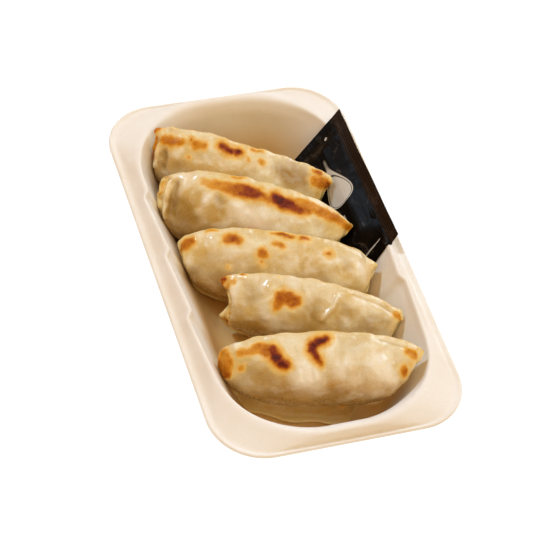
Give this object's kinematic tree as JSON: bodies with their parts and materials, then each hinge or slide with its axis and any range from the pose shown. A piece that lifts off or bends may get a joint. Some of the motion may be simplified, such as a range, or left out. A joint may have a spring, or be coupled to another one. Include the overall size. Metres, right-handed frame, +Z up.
{
  "type": "tray of gyoza dumplings",
  "caption": "Pan-fried gyoza dumplings in a row in a rounded moulded-fibre tray with a wide rim, and a dark sauce sachet leaning on the rim.",
  "frame": {"origin": "on the ground under the middle of the tray", "axes": "+Z up, +Y along the tray's long side, the gyoza show their smooth faces to -Y, the sachet leans on the rim at +X"},
  "size_m": [0.1142, 0.2, 0.042],
  "materials": {
    "moulded_fibre": "matt moulded fibre",
    "fried_dough": "cooked dough with a film of oil",
    "dark_film": "glossy printed film"
  },
  "bodies": {
    "root": {"tray": "moulded_fibre", "gyoza_1": "fried_dough", "gyoza_2": "fried_dough", "gyoza_3": "fried_dough", "gyoza_4": "fried_dough", "gyoza_5": "fried_dough", "sauce_sachet": "dark_film"}
  },
  "joints": []
}
